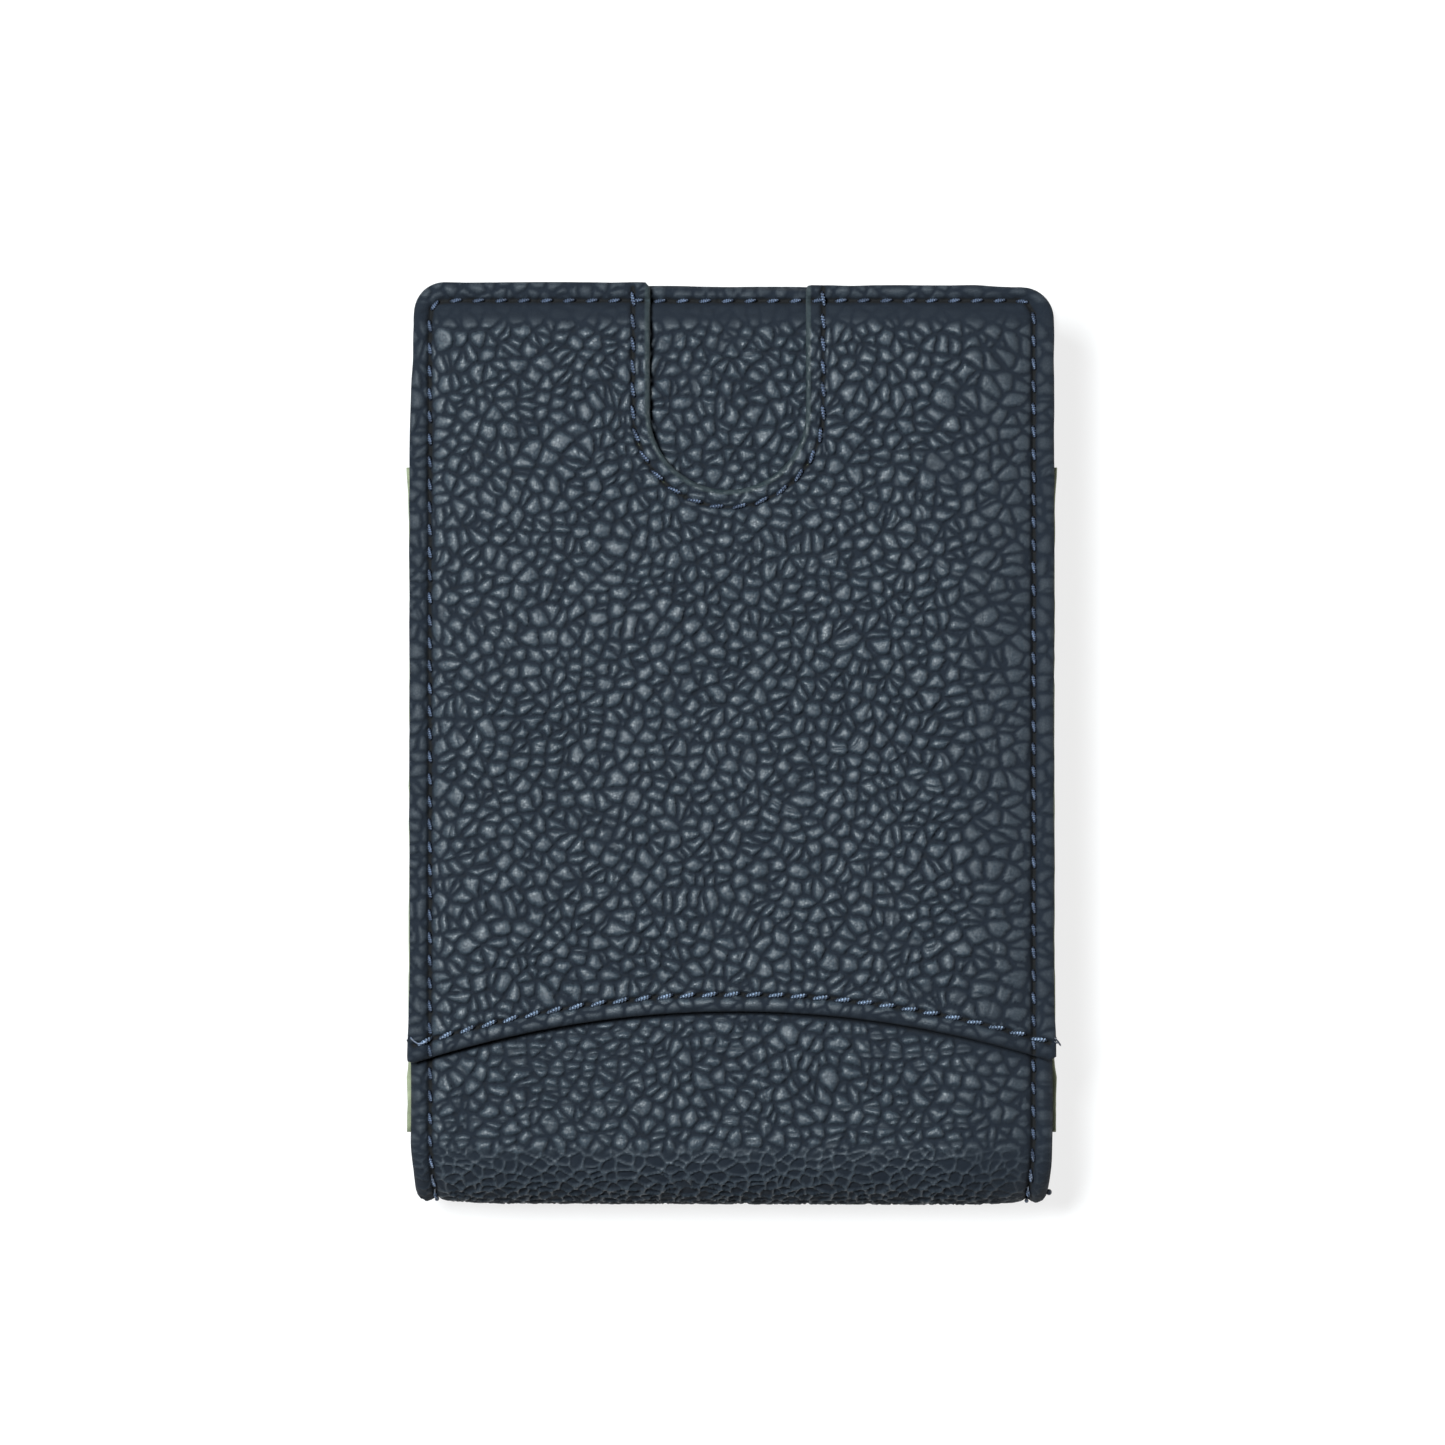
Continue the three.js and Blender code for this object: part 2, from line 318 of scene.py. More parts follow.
def boundary_loops(faces):
    """The open edges of the faces as closed rings of corners, each with the faces on its left."""
    starts = faces.ravel()
    ends = np.roll(faces, -1, axis=1).ravel()
    there = set(zip(starts.tolist(), ends.tolist()))
    following = {a: b for a, b in there if (b, a) not in there}
    rings = []
    while following:
        first, at = next(iter(following.items()))
        ring = [first]
        del following[first]
        while at != first:
            ring.append(at)
            at = following.pop(at)
        rings.append(np.array(ring))
    return rings


def cut_sheet(us, vs, distance, roll, hem=0.0, roll_steps=5):
    """A grid cut to an outline, whose edge rolls over and runs back underneath as a hem.
    Without a hem the underside is closed by the same grid again, so that the piece is solid.

    distance is negative inside the outline. Returns flat places (u, v), heights below the sheet's face,
    the direction in which each point's face looks (1 up, 0 sideways, -1 down) and the faces."""
    columns, all_faces = [], []

    def inset(u, v):
        return distance(u, v) + roll

    def add(u, v, drop, side):
        columns.append(np.stack(np.broadcast_arrays(u, v, drop, side)))
    u, v = np.meshgrid(us, vs, indexing="ij")
    middle_u = (u[:-1, :-1] + u[1:, 1:]) / 2
    middle_v = (v[:-1, :-1] + v[1:, 1:]) / 2
    kept = inset(middle_u, middle_v) < 0
    index = np.arange(u.size).reshape(u.shape)
    faces = grid_faces(index)[kept]
    used, faces = np.unique(faces, return_inverse=True)
    faces = faces.reshape(-1, 4)
    u, v = u.ravel()[used].copy(), v.ravel()[used].copy()
    rings = boundary_loops(faces)
    edge = np.concatenate(rings)
    for _ in range(4):
        away = inset(u[edge], v[edge])
        gu, gv = gradient(inset, u[edge], v[edge])
        u[edge] -= away * gu
        v[edge] -= away * gv
    add(u, v, 0.0, 0.0)
    all_faces.append(faces)
    count = len(u)
    under = np.full(count, -1)
    for ring in rings:
        gu, gv = gradient(inset, u[ring], v[ring])
        last = ring
        stations = [(roll * math.sin(a), roll * (1 - math.cos(a)), a)
                    for a in np.linspace(0, math.pi, roll_steps + 1)[1:]]
        if hem:
            stations += [(-hem * part, 2 * roll, math.pi) for part in (0.4, 1.0)]
        for out, down, angle in stations:
            new = count + np.arange(len(ring))
            count += len(ring)
            add(u[ring] + out * gu, v[ring] + out * gv, down, angle)
            next_last, next_new = np.roll(last, -1), np.roll(new, -1)
            all_faces.append(np.stack([next_last, last, new, next_new], axis=1))
            last = new
        under[ring] = last
    if not hem:
        open_points = np.flatnonzero(under < 0)
        under[open_points] = count + np.arange(len(open_points))
        add(u[open_points], v[open_points], 2 * roll, math.pi)
        all_faces.append(under[faces][:, ::-1])
    return (*np.concatenate(columns, axis=1), np.concatenate(all_faces))


# ---------------------------------------------------------------- the shell's shape
# The skin is laid out flat: u across, s along it from the back cover's top, down the back, round the
# bend and up the front. shell_place turns (u, s, n) into x, y, z, with n the height above the flange.
BACK_LENGTH = TOP_Y - HINGE[1]
BEND_LENGTH = math.pi * FLANGE_RADIUS
SHELL_LENGTH = 2 * BACK_LENGTH + BEND_LENGTH


def shell_place(u, s, n):
    turn = np.clip((s - BACK_LENGTH) / FLANGE_RADIUS, 0, math.pi)
    straight = np.where(s < BACK_LENGTH, BACK_LENGTH - s, np.maximum(s - BACK_LENGTH - BEND_LENGTH, 0))
    out_y, out_z = -np.sin(turn), -np.cos(turn)
    y = HINGE[1] + straight + (FLANGE_RADIUS + n) * out_y
    z = HINGE[2] + (FLANGE_RADIUS + n) * out_z
    return xyz(u, y, z)


def front_s(y):
    """The place along the skin of a point of the front cover."""
    return BACK_LENGTH + BEND_LENGTH + (y - HINGE[1])


def across_bend(s):
    """0 where the back meets the bend, 1 where the bend meets the front."""
    return np.clip((s - BACK_LENGTH) / BEND_LENGTH, 0, 1)


def narrowing(s):
    """The case is a little narrower at the bottom of the bend."""
    return 0.6 * np.sin(math.pi * across_bend(s)) ** 2


def left_taper(x, y):
    """The front's left side leans in towards the top."""
    return 0.5 * smooth((y - 30) / 18) * (x < 0)


def top_drop(x):
    """The front's top edge sits a little lower on the right."""
    return 0.32 * smooth((x + 8) / 16) + 0.25 * smooth((x - 26) / 6)


def shell_half_width(u, s):
    return SHELL_HALF_WIDTH - narrowing(s) - left_taper(u, s - front_s(0.0))


def seam_x(s):
    return SEAM_X - narrowing(s)


def puff(u, s):
    """How far the padding lifts the skin above its flange, and the flange's own fullness in the bend."""
    across = across_bend(s)
    fullness = BEND_LIFT * np.sin(math.pi * across) ** 1.5
    most = PUFF_BACK + (PUFF_FRONT - PUFF_BACK) * smooth(across) - fullness
    from_side = pillow((seam_x(s) - np.abs(u)) / PUFF_REACH)
    ends = np.minimum(s, SHELL_LENGTH - s) - SEAM_INSET
    return fullness * (1 + 0.1 * u / HALF_WIDTH) + most * from_side * pillow(ends / PUFF_TOP_REACH)


def seam_distance(u, s):
    """Distance from the seam that runs down both sides and across both tops."""
    sides = seam_x(s) - np.abs(u)
    ends = np.minimum(s, SHELL_LENGTH - s) - SEAM_INSET
    radius = SEAM_CORNER
    corner = radius - np.hypot(radius - np.minimum(sides, radius), radius - np.minimum(ends, radius))
    return np.where((sides < radius) & (ends < radius), corner, np.minimum(sides, ends))


def seam_groove(distance):
    """The skin pulled down by thread, and the rounded flange outside it."""
    groove = -GROOVE * bell(distance / GROOVE_WIDTH) - 0.12 * bell(distance / 1.2)
    return groove + 0.14 * bell((distance + 1.1) / 0.6)


def rounded_ends(u, s):
    """Distance outside the shell's outline: straight sides, and ends with round corners."""
    side = np.abs(u) - shell_half_width(u, s)
    end = np.maximum(-s, s - SHELL_LENGTH + top_drop(u) + 0.3)
    return rounded(side, end, CORNER_RADIUS) + 0.05 * noise(u, s, 3.1, 51)


def grain_strength(u, s_from_foot, seam):
    """The grain is pressed flat by seams and stretched smooth towards the right side."""
    calm = 1 - 0.40 * smooth((u - 22) / 9)
    pressed = 0.35 + 0.65 * smooth((np.abs(seam) - 0.4) / 2.2)
    return calm * pressed * (1 + 0.12 * noise(u, s_from_foot, 12, 61))


def seam_shade(grain_and_shade, u, seam):
    """Painted shade: the groove along a seam is made as dark as a crease, and the skin darker towards the
    right side and on the flange outside the seam, where the skin turns away from the light."""
    groove = 1 - 0.7 * bell(seam / GROOVE_WIDTH)
    return grain_and_shade * groove * (1 - 0.38 * smooth((u - 21) / 6)) * (1 - 0.60 * smooth(-seam / 0.6))


def top_wrinkles(u, v, below_top_seam):
    """Fine level wrinkles in the band that the padding starts from, just below the top seam."""
    band = smooth(below_top_seam / 0.4) * (1 - smooth((below_top_seam - 1.7) / 1.9))
    return band, band * noise(u / 5, v, 0.42, 38)


def holes(u, v, gaps):
    """1 in the needle holes at the ends of stitches; gaps are pairs of (u, v) points along the seam."""
    depth = np.zeros(u.shape)
    low, high = gaps.min(axis=(0, 1)) - 1, gaps.max(axis=(0, 1)) + 1
    near = np.flatnonzero((u > low[0]) & (u < high[0]) & (v > low[1]) & (v < high[1]))
    at_a_time = 20000
    for first in range(0, len(near), at_a_time):
        some = near[first:first + at_a_time]
        place = np.stack([u[some], v[some]], axis=1)[:, None]
        start, along = gaps[None, :, 0], (gaps[:, 1] - gaps[:, 0])[None]
        share = np.clip(((place - start) * along).sum(-1) / (along**2).sum(-1), 0, 1)
        away = np.linalg.norm(place - start - share[..., None] * along, axis=-1).min(axis=1)
        depth[some] = bell(away / HOLE_RADIUS)
    return depth


def stretched(u):
    """Across the skin, pebbles grow wider towards the right side."""
    past = np.maximum(u - 18, 0)
    return u - 0.008 * past**2


# ---------------------------------------------------------------- materials
class Nodes:
    """Short calls for building the node tree of a material or of the world."""

    def __init__(self, owner):
        self.owner = owner
        owner.use_nodes = True
        self.tree = owner.node_tree

    def node(self, kind, inputs=None, **settings):
        made = self.tree.nodes.new(kind)
        for key, value in settings.items():
            setattr(made, key, value)
        for key, value in (inputs or {}).items():
            self.feed(made.inputs[key], value)
        return made

    def feed(self, socket, value):
        if isinstance(value, bpy.types.NodeSocket):
            self.tree.links.new(value, socket)
        else:
            socket.default_value = value

    def place(self):
        return self.node("ShaderNodeTexCoord").outputs["Object"]

    def noise(self, size_mm, detail=4.0, rough=0.55):
        made = self.node("ShaderNodeTexNoise", {"Vector": self.place(), "Scale": 1 / (size_mm * MM),
                                                "Detail": detail, "Roughness": rough})
        return made.outputs["Fac"]

    def warped(self, size_mm, amount_mm):
        """Object coordinates pushed about by noise."""
        push = self.node("ShaderNodeTexNoise", {"Vector": self.place(), "Scale": 1 / (size_mm * MM),
                                                "Detail": 2.0}).outputs["Color"]
        centred = self.vector("SUBTRACT", 1, push, (0.5, 0.5, 0.5))
        scaled = self.vector("SCALE", "Scale", centred, 2 * amount_mm * MM)
        return self.vector("ADD", 1, self.place(), scaled)

    def vector(self, operation, second_socket, first, second):
        made = self.node("ShaderNodeVectorMath", operation=operation)
        self.feed(made.inputs[0], first)
        self.feed(made.inputs[second_socket], second)
        return made.outputs[0]

    def attribute(self, name):
        return self.node("ShaderNodeAttribute", attribute_name=name).outputs["Fac"]

    def ramp(self, value, low, high, to_low, to_high):
        made = self.node("ShaderNodeMapRange", {"Value": value, "From Min": low, "From Max": high,
                                                "To Min": to_low, "To Max": to_high})
        return made.outputs["Result"]

    def mix(self, amount, first, second):
        made = self.node("ShaderNodeMix", data_type="RGBA")
        self.feed(made.inputs[0], amount)
        self.feed(made.inputs[6], first)
        self.feed(made.inputs[7], second)
        return made.outputs[2]

    def math(self, operation, first, second):
        made = self.node("ShaderNodeMath", operation=operation)
        self.feed(made.inputs[0], first)
        self.feed(made.inputs[1], second)
        return made.outputs[0]

    def bump(self, height, depth_mm, strength=1.0, under=None):
        made = self.node("ShaderNodeBump", {"Height": height, "Distance": depth_mm * MM,
                                            "Strength": strength})
        if under is not None:
            self.feed(made.inputs["Normal"], under)
        return made.outputs["Normal"]

    def finish(self, **sockets):
        shader = self.tree.nodes["Principled BSDF"]
        for key, value in sockets.items():
            self.feed(shader.inputs[key.replace("_", " ")], value)
        return self.owner


def new_material(name):
    return Nodes(bpy.data.materials.new(name))


def leather():
    """Navy pebbled faux leather with finely cracked tops; its colour holds painted shade in creases, holes
    and under the hem.
    """
    n = new_material("navy_leather")
    height = n.attribute("grain_and_shade")
    drift = n.noise(9.0, 2.0)
    speck = n.noise(0.34, 5.0, 0.7)
    crack = n.node("ShaderNodeTexVoronoi", {"Vector": n.warped(0.4, 0.12), "Scale": 1 / (0.34 * MM)},
                   feature="DISTANCE_TO_EDGE").outputs["Distance"]
    crack = n.ramp(crack, 0.0, 0.16, 0.0, 1.0)
    top = n.mix(drift, (0.022, 0.032, 0.044, 1), (0.029, 0.039, 0.049, 1))
    top = n.mix(n.ramp(speck, 0.35, 0.75, 0.0, 1.0), top, (0.046, 0.060, 0.074, 1))
    top = n.mix(n.ramp(crack, 0.0, 0.7, 0.60, 0.0), top, (0.008, 0.013, 0.020, 1))
    # Painted shade: low grain values darken the colour in creases and seam grooves, and values below zero
    # make it near black in needle holes and under the pocket's hem.
    colour = n.mix(n.ramp(height, 0.0, 0.75, 0.0, 1.0), (0.0012, 0.0050, 0.0115, 1), top)
    colour = n.mix(n.ramp(height, -0.6, -0.1, 0.0, 1.0), (0.0004, 0.0007, 0.0012, 1), colour)
    rough = n.ramp(height, 0.0, 0.7, 0.90, 0.40)
    rough = n.math("ADD", rough, n.ramp(speck, 0.2, 0.8, -0.05, 0.06))
    paint = n.attribute("paint")
    mottle = n.ramp(n.noise(0.7, 4.0, 0.6), 0.3, 0.7, 0.0, 1.0)
    painted = n.mix(mottle, (0.011, 0.019, 0.023, 1), (0.025, 0.036, 0.040, 1))
    colour = n.mix(paint, colour, painted)
    coarse = n.bump(speck, 0.045, 0.5)
    fine = n.bump(crack, 0.030, 0.6, coarse)
    return n.finish(Base_Color=colour, Roughness=rough, Normal=fine, Specular_IOR_Level=0.40)


def fabric(name, dark, light, weave_mm=0.35, worn_and_lit=None):
    """A tightly woven lining: fine threads both ways, mottled along them, and paler where it is worn, partly
    a painted highlight.
    """
    n = new_material(name)
    place = n.node("ShaderNodeSeparateXYZ", {"Vector": n.place()})
    waves = []
    for axis in ("X", "Y"):
        phase = n.math("MULTIPLY", place.outputs[axis], 2 * math.pi / (weave_mm * MM))
        waves.append(n.math("SINE", phase, 0.0))
    weave = n.math("MULTIPLY", waves[0], waves[1])
    height = n.ramp(weave, -1.0, 1.0, 0.0, 1.0)
    mottle = n.noise(1.4, 5.0, 0.65)
    colour = n.mix(n.math("MULTIPLY", height, mottle), dark, light)
    if worn_and_lit is not None:
        wear_and_light = n.math("MULTIPLY", n.attribute("worn_and_lit"), n.ramp(mottle, 0.3, 0.6, 0.5, 1.0))
        colour = n.mix(wear_and_light, colour, worn_and_lit)
    rough = n.ramp(mottle, 0.3, 0.7, 0.72, 0.9)
    fine = n.bump(n.noise(0.12, 2.0), 0.02, 0.4, n.bump(height, 0.05, 0.6))
    return n.finish(Base_Color=colour, Roughness=rough, Normal=fine, Sheen_Weight=0.15)


def thread(name, dark, light):
    """Twisted thread: its plies show fine slanting marks of painted highlight and shade."""
    n = new_material(name)
    fibre = n.noise(0.09, 3.0)
    plies = n.ramp(n.attribute("ply_light_and_shade"), 0.15, 0.75, 0.0, 1.0)
    patchy = n.ramp(n.noise(0.9, 2.0), 0.35, 0.65, 0.35, 1.0)
    colour = n.mix(n.math("MULTIPLY", plies, patchy), dark, light)
    rough = n.ramp(fibre, 0.2, 0.8, 0.30, 0.5)
    return n.finish(Base_Color=colour, Roughness=rough, Normal=n.bump(fibre, 0.03, 0.6),
                    Specular_IOR_Level=0.6)


def foam():
    n = new_material("foam")
    cells = n.node("ShaderNodeTexVoronoi", {"Vector": n.place(), "Scale": 1 / (0.3 * MM)}).outputs["Distance"]
    colour = n.mix(n.ramp(cells, 0.1, 0.7, 0.0, 1.0), (0.18, 0.18, 0.16, 1), (0.38, 0.38, 0.34, 1))
    return n.finish(Base_Color=colour, Roughness=n.ramp(cells, 0.1, 0.7, 0.85, 0.97),
                    Normal=n.bump(cells, 0.08, 0.7))


def greyboard():
    n = new_material("greyboard")
    fibre = n.noise(0.5, 6.0, 0.75)
    colour = n.mix(fibre, (0.20, 0.185, 0.155, 1), (0.34, 0.32, 0.28, 1))
    return n.finish(Base_Color=colour, Roughness=n.ramp(fibre, 0.3, 0.7, 0.82, 0.95),
                    Normal=n.bump(fibre, 0.04, 0.5))


def nickel():
    n = new_material("nickel")
    scuff = n.noise(1.2, 5.0, 0.6)
    colour = n.mix(scuff, (0.42, 0.42, 0.40, 1), (0.55, 0.55, 0.53, 1))
    return n.finish(Base_Color=colour, Metallic=1.0, Roughness=n.ramp(scuff, 0.3, 0.7, 0.22, 0.4),
                    Normal=n.bump(n.noise(0.3, 3.0), 0.01, 0.3))


LEATHER = leather()
LINING = fabric("olive_lining", (0.030, 0.037, 0.016, 1), (0.105, 0.125, 0.062, 1))
# The folds' noses are paler: partly wear, partly a painted highlight where they catch the light.
GUSSET = fabric("olive_gusset", (0.040, 0.050, 0.022, 1), (0.150, 0.175, 0.095, 1), weave_mm=0.28,
                worn_and_lit=(0.300, 0.330, 0.210, 1))
# The light colours are painted highlights on the thread's plies.
THREAD = thread("seam_thread", (0.008, 0.013, 0.026, 1), (0.250, 0.335, 0.470, 1))
# A darker copy of the same thread: painted shade for stitches that lie sunk in grooves and out of the light.
DARK_THREAD = thread("side_thread", (0.006, 0.010, 0.022, 1), (0.160, 0.215, 0.330, 1))
FOAM = foam()
BOARD = greyboard()
NICKEL = nickel()


# ---------------------------------------------------------------- where the stitches go
def spaced(line, stitch):
    """Stitches spaced evenly along a dense flat line: their ends, and the gaps between them."""
    pitch, visible = stitch
    length = np.concatenate([[0], np.cumsum(np.linalg.norm(np.diff(line, axis=0), axis=1))])
    count = max(1, round(length[-1] / pitch))
    spacing = length[-1] / count

    def at(where):
        return np.stack([np.interp(where, length, line[:, k]) for k in range(2)], axis=1)
    middles = (np.arange(count) + 0.5) * spacing
    half = visible / 2
    ends = np.stack([at(middles - half), at(middles + half)], axis=1)
    between = np.arange(count + 1) * spacing
    half_gap = (spacing - visible) / 2
    gaps = np.stack([at(np.maximum(between - half_gap, 0)),
                     at(np.minimum(between + half_gap, length[-1]))], axis=1)
    return ends, gaps


def perimeter(u_of_s, low, high, radius, step=0.2):
    """A closed line round a strip of the skin, in (u, s), with round corners."""
    s = np.arange(low + radius, high - radius, step)
    steps = 9
    turn = np.linspace(0, math.pi / 2, steps)
    corner_s, corner_u = radius * (1 - np.cos(turn)), radius * (1 - np.sin(turn))
    right = np.stack([u_of_s(s), s], axis=1)
    top = np.stack([u_of_s(np.full(steps, high)) - corner_u[::-1], high - corner_s[::-1]], axis=1)
    foot = np.stack([u_of_s(np.full(steps, low)) - corner_u, low + corner_s], axis=1)
    half = np.concatenate([foot, right, top])
    other = half[::-1] * np.array([-1, 1])
    return np.concatenate([half, other, half[:1]])


def mouth_line():
    angle = np.linspace(-0.32, 0.32, 700)
    x = MOUTH_X + (MOUTH_RADIUS + HEM_SEAM) * np.sin(angle)
    y = MOUTH_CENTRE_Y + (MOUTH_RADIUS + HEM_SEAM) * np.cos(angle)
    kept = np.abs(x) < HALF_WIDTH - 0.5
    return np.stack([x[kept], y[kept]], axis=1)


def notch_line():
    reach = NOTCH_RADIUS + HEM_SEAM
    down = np.linspace(TOP_Y - 0.6, NOTCH_CENTRE_Y, 120)
    turn = np.linspace(0, math.pi, 200)
    x = np.concatenate([np.full(120, NOTCH_X - reach), NOTCH_X - reach * np.cos(turn),
                        np.full(120, NOTCH_X + reach)])
    y = np.concatenate([down, NOTCH_CENTRE_Y - reach * np.sin(turn), down[::-1]])
    return np.stack([x, y], axis=1)


OUTER_LINE = perimeter(seam_x, SEAM_INSET, SHELL_LENGTH - SEAM_INSET, SEAM_CORNER)
OUTER_STITCHES, OUTER_GAPS = spaced(OUTER_LINE, SIDE_STITCH)
MOUTH_STITCHES, MOUTH_GAPS = spaced(mouth_line(), MOUTH_STITCH)
NOTCH_STITCHES, NOTCH_GAPS = spaced(notch_line(), NOTCH_STITCH)


# ---------------------------------------------------------------- the shell
def hem_gap_and_shadow(x, y):
    """1 where the pocket's hem rests on the skin: a slight dip, painted dark as the hem's shadow, wider on
    the right.
    """
    below = mouth_distance(x, y)
    width = 0.42 + 0.25 * smooth((x + 5) / 30)
    return (below > -2) * bell(np.maximum(below, 0) / width)


def unequal(stretches):
    """Grid lines from a list of (start, end, spacing) that follow on from each other."""
    lines = [np.array([stretches[0][0]])]
    for start, end, spacing in stretches:
        steps = max(1, round((end - start) / spacing))
        lines.append(np.linspace(start, end, steps + 1)[1:])
    return np.concatenate(lines)


def shell_height(u, s, drop, side):
    """n for a point of the shell: padding, seam and grain on its face, fading round its rolled edge."""
    face = np.cos(np.minimum(side, math.pi / 2))
    seam = seam_distance(u, s)
    taut = smooth((front_s(TAUT_FROM_Y) - s) / 1.3) * smooth((s - BACK_LENGTH + 1.0) / 1.3)
    grain_and_shade = pebbles(stretched(u), s)
    drawn = taut > 0
    grain_and_shade[drawn] = grain_and_shade[drawn] * (1 - taut[drawn]) + taut[drawn] * taut_grain(u[drawn], s[drawn])
    below_mouth = smooth((front_s(CREASES_TO_Y) - s) / 3) * smooth((s - front_s(CREASES_FROM_Y)) / 3)
    creases = below_mouth * long_creases(u, s)
    band, wrinkles = top_wrinkles(u, s, np.minimum(s, SHELL_LENGTH - s) - SEAM_INSET)
    needle = holes(u, s, OUTER_GAPS) * face
    gap = hem_gap_and_shadow(u, s - front_s(0.0))
    # Painted shade: the long creases and the hem's gap lower the grain value, which darkens the skin there as
    # well as shaping it.
    grain_and_shade = grain_and_shade * (1 - 0.85 * creases) * (1 - gap) - 0.35 * gap
    covered = smooth(-on_panel_distance(u, s) - 1.0) * (s > front_s(PANEL_FOOT_Y))
    lift = puff(u, s) + (seam_groove(seam) - HOLE_DEPTH * needle) * face + WRINKLE_HEIGHT * wrinkles
    lift = lift - 0.15 * covered - 0.10 * gap * face
    bumps = PEBBLE_HEIGHT * (grain_and_shade - PEBBLE_LEVEL) * grain_strength(u, s, seam)
    bumps = bumps * (1 - 0.75 * band) * (1 - covered)
    # Painted shade: darker in the band below the top seams, where the skin slopes away from the light, along
    # the seams and towards the right, and in the needle holes.
    shade = seam_shade(grain_and_shade * (1 - 0.95 * band), u, seam) - needle
    return lift - drop + bumps * np.maximum(face, 0.25 * (side < UNDERSIDE)), shade


def blend_covers(piece):
    """Bakes the piece's placement into its mesh."""
    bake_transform(piece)


def build_shell():
    """The skin of both covers in one piece. Its grid is coarse where the pocket's panel hides it."""
    fine, medium, coarse = 0.16, 0.34, 1.6
    us = np.linspace(-SHELL_HALF_WIDTH, SHELL_HALF_WIDTH, round(2 * SHELL_HALF_WIDTH / fine) + 1)
    hidden_from, hidden_to = front_s(MOUTH_TOP_Y + 2.0), front_s(NOTCH_FOOT_Y - 1.5)
    ss = unequal([(0, BACK_LENGTH, medium), (BACK_LENGTH, hidden_from, fine),
                  (hidden_from, hidden_to, coarse), (hidden_to, SHELL_LENGTH, fine)])
    u, s, drop, side, faces = cut_sheet(us, ss, rounded_ends, SHELL_ROLL, SHELL_HEM)
    n, grain_and_shade = shell_height(u, s, drop, side)
    shell = new_piece("shell_leather", shell_place(u, s, n), faces, LEATHER, {"grain_and_shade": grain_and_shade})
    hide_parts("back_leather", "front_leather", "spine_leather")
    blend_covers(shell)


# ---------------------------------------------------------------- the pass pocket's panel
def mouth_distance(x, y):
    """Distance below the arched mouth; negative up inside the panel."""
    return MOUTH_RADIUS - np.hypot(x - MOUTH_X, y - MOUTH_CENTRE_Y)


def notch_distance(x, y):
    """Distance outside the thumb notch; negative inside the notch."""
    sides = np.abs(x - NOTCH_X)
    below = np.hypot(x - NOTCH_X, y - NOTCH_CENTRE_Y)
    return np.where(y > NOTCH_CENTRE_Y, sides, below) - NOTCH_RADIUS


def panel_half_width(y):
    """The panel's ends stand a little proud of the shell beside the mouth."""
    return HALF_WIDTH - 0.05 + 0.25 * bell((y + 34) / 4)


def panel_distance(x, y):
    side = np.abs(x) - panel_half_width(y) + left_taper(x, y)
    end = y - TOP_Y + top_drop(x)
    outer = rounded(side, end, CORNER_RADIUS) + 0.05 * noise(x, y, 2.6, 52)
    return np.maximum(np.maximum(outer, mouth_distance(x, y)), -notch_distance(x, y))


def on_panel_distance(u, s):
    return panel_distance(u, s - front_s(0.0))


def on_panel(u, s):
    """1 where the pass pocket's panel covers the shell."""
    return (s > front_s(PANEL_FOOT_Y)) & (on_panel_distance(u, s) < -0.2)


def panel_base(x, y):
    """z of the panel's face before seams and grain."""
    return FLANGE_FRONT_Z + PANEL + puff(x, front_s(y))


def build_panel():
    spacing = 0.15
    us = np.linspace(-HALF_WIDTH, HALF_WIDTH, round(2 * HALF_WIDTH / spacing) + 1)
    vs = np.linspace(PANEL_FOOT_Y, TOP_Y, round((TOP_Y - PANEL_FOOT_Y) / spacing) + 1)
    x, y, drop, side, faces = cut_sheet(us, vs, panel_distance, PANEL_ROLL, PANEL_HEM)
    face = np.cos(np.minimum(side, math.pi / 2))
    outer_seam = seam_distance(x, front_s(y))
    mouth_seam = -mouth_distance(x, y) - HEM_SEAM
    notch_seam = notch_distance(x, y) - HEM_SEAM
    inner = np.minimum(mouth_seam, notch_seam)
    grain_and_shade = pebbles(stretched(x) + 40, y + 400)
    strength = grain_strength(x, y, outer_seam) * (0.55 + 0.45 * smooth((np.abs(inner) - 0.3) / 1.4))
    band, wrinkles = top_wrinkles(x, y, SEAM_TOP_Y - y)
    needle = np.maximum(holes(x, front_s(y), OUTER_GAPS), holes(x, y, MOUTH_GAPS))
    needle = np.maximum(needle, holes(x, y, NOTCH_GAPS)) * face
    hem = 0.22 * bell((mouth_seam + 1.0) / 0.62) + 0.06 * bell((notch_seam + 1.0) / 0.7)
    lift = seam_groove(outer_seam) - GROOVE * bell(inner / GROOVE_WIDTH) + hem
    lift = lift - HOLE_DEPTH * needle + WRINKLE_HEIGHT * wrinkles
    strength = strength * (0.25 + 0.75 * smooth((-mouth_distance(x, y) - 1.2) / 0.8))
    paint = 1 - smooth((notch_distance(x, y) - 0.46) / 0.18)
    bumps = PEBBLE_HEIGHT * (grain_and_shade - PEBBLE_LEVEL) * strength * (1 - 0.92 * paint) * (1 - 0.75 * band)
    z = panel_base(x, y) - drop + lift * face + bumps * np.maximum(face, 0.2 * (side < UNDERSIDE))
    # Painted shade: darker in the band below the top seam, along the seams and towards the right, along the
    # mouth's and notch's stitches, on the hem's rounded lower side and in the needle holes.
    shade = seam_shade(grain_and_shade * (1 - 0.95 * band), x, outer_seam) * (1 - 0.6 * bell(inner / 0.36))
    shade = shade * (0.1 + 0.9 * smooth(-mouth_distance(x, y) / 1.5))
    panel = new_piece("pass_pocket_panel", xyz(x, y, z), faces, LEATHER,
                      {"grain_and_shade": shade - needle, "paint": paint})
    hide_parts("pass_pocket_leather")
    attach(panel, "front_cover")


